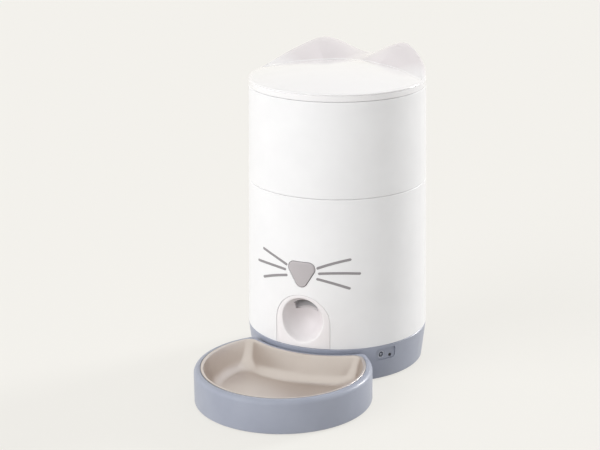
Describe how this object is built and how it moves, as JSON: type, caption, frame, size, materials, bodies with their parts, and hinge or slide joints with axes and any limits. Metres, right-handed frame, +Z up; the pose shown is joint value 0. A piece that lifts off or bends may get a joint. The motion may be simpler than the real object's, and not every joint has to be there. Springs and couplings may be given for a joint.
{
  "type": "automatic pet feeder",
  "caption": "Round tower feeder with an eared lid, lift-off food hopper, metering rotor, front chute, nose button and a crescent tray holding a steel dish.",
  "frame": {"origin": "centre of the footprint's bounding rectangle, on the floor under the rubber feet", "axes": "+Z up, -Y towards the dish and the animal, +X to the right seen from the front"},
  "size_m": [0.196, 0.3334, 0.3387],
  "materials": {
    "white_shell": "glossy moulded ABS",
    "white_gloss": "high gloss moulded ABS",
    "grey_base": "satin blue-grey ABS",
    "port_grey": "satin grey ABS",
    "nose_grey": "satin warm grey ABS",
    "whisker_grey": "satin grey inlay",
    "inner_plastic": "natural polypropylene",
    "tank_plastic": "clear-white polypropylene",
    "black_plastic": "black moulded plastic",
    "board_green": "coated circuit board",
    "gear_nylon": "natural nylon",
    "bush_plastic": "acetal",
    "vane_silicone": "soft silicone",
    "seal_rubber": "silicone seal",
    "rubber": "black rubber",
    "dish_steel": "satin stainless steel",
    "steel_screw": "plated steel",
    "tin_can": "tinned steel"
  },
  "bodies": {
    "housing": {"base_shell": "grey_base", "base_plate": "grey_base", "base_feet": "rubber", "base_screws": "steel_screw", "joint_screws": "steel_screw", "port_plate": "port_grey", "dc_jack": "port_grey", "reset_switch": "black_plastic", "control_board": "board_green", "wifi_module": "tin_can", "board_parts": "black_plastic", "lower_shell": "white_shell", "whisker_inlays": "whisker_grey", "chute_panel": "white_shell", "chute_duct": "inner_plastic", "food_sensors": "black_plastic", "feed_switch": "black_plastic", "button_board": "board_green", "metering_deck": "inner_plastic", "deck_screws": "steel_screw", "shaft_bush": "bush_plastic", "motor_bracket": "tin_can", "gear_motor": "tin_can"},
    "hopper": {"upper_shell": "white_shell", "hopper_tank": "tank_plastic", "hopper_funnel": "tank_plastic", "hopper_cover": "tank_plastic"},
    "lid": {"lid_shell": "white_gloss", "lid_liner": "inner_plastic", "lid_seal": "seal_rubber", "desiccant_box": "inner_plastic"},
    "tray": {"bowl_tray": "grey_base", "tray_feet": "rubber"},
    "dish": {"steel_dish": "dish_steel"},
    "feed_button": {"feed_button": "nose_grey"},
    "reset_button": {"reset_button": "black_plastic"},
    "rotor": {"rotor_hub": "inner_plastic", "rotor_vanes": "vane_silicone", "rotor_shaft": "steel_screw", "drive_gear": "gear_nylon"},
    "pinion": {"motor_pinion": "gear_nylon", "pinion_shaft": "steel_screw"}
  },
  "joints": [
    {"name": "hopper_lift", "type": "slide", "parent": "housing", "child": "hopper", "axis": [0, 0, 1], "range_m": [0, 0.06]},
    {"name": "lid_lift", "type": "slide", "parent": "hopper", "child": "lid", "axis": [0, 0, 1], "range_m": [0, 0.06]},
    {"name": "tray_pull", "type": "slide", "parent": "housing", "child": "tray", "axis": [0, -1, 0], "range_m": [0, 0.03]},
    {"name": "dish_lift", "type": "slide", "parent": "tray", "child": "dish", "axis": [0, 0, 1], "range_m": [0, 0.05]},
    {"name": "feed_press", "type": "slide", "parent": "housing", "child": "feed_button", "axis": [0, 1, 0], "range_m": [0, 0.0015], "stiffness_N_per_m": 400, "springref_m": -0.001},
    {"name": "reset_press", "type": "slide", "parent": "housing", "child": "reset_button", "axis": [-0.8192, 0.5736, 0], "range_m": [0, 0.0006], "stiffness_N_per_m": 300, "springref_m": -0.001},
    {"name": "rotor_turn", "type": "hinge", "parent": "housing", "child": "rotor", "pos_m": [0, 0.06875, 0.155], "axis": [0, 0, 1], "continuous": true},
    {"name": "pinion_turn", "type": "hinge", "parent": "housing", "child": "pinion", "pos_m": [0, 0.1025, 0.1435], "axis": [0, 0, 1], "continuous": true}
  ],
  "couplings": [
    {"joint": "pinion_turn", "follows": "rotor_turn", "ratio": -2.8571}
  ]
}
